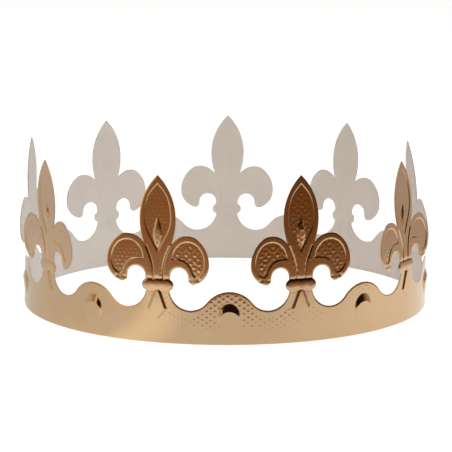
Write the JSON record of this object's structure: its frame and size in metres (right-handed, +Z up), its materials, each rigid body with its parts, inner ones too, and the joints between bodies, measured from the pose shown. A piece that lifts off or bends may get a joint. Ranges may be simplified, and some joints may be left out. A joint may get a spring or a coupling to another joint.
{
  "type": "paper crown",
  "caption": "Ring crown of embossed foil-faced card, its upper edge cut into fleur-de-lis points joined by low waves, for wearing on the head.",
  "frame": {"origin": "centre of the ring at its lower edge, on the surface it stands on", "axes": "+Z up towards the points, -Y towards the front, which is the middle of the wave between the two front lilies"},
  "size_m": [0.1983, 0.1976, 0.076],
  "materials": {
    "foil_card": "satin gold foil outside, plain off-white card inside"
  },
  "bodies": {
    "root": {"crown_strip": "foil_card"}
  },
  "joints": []
}
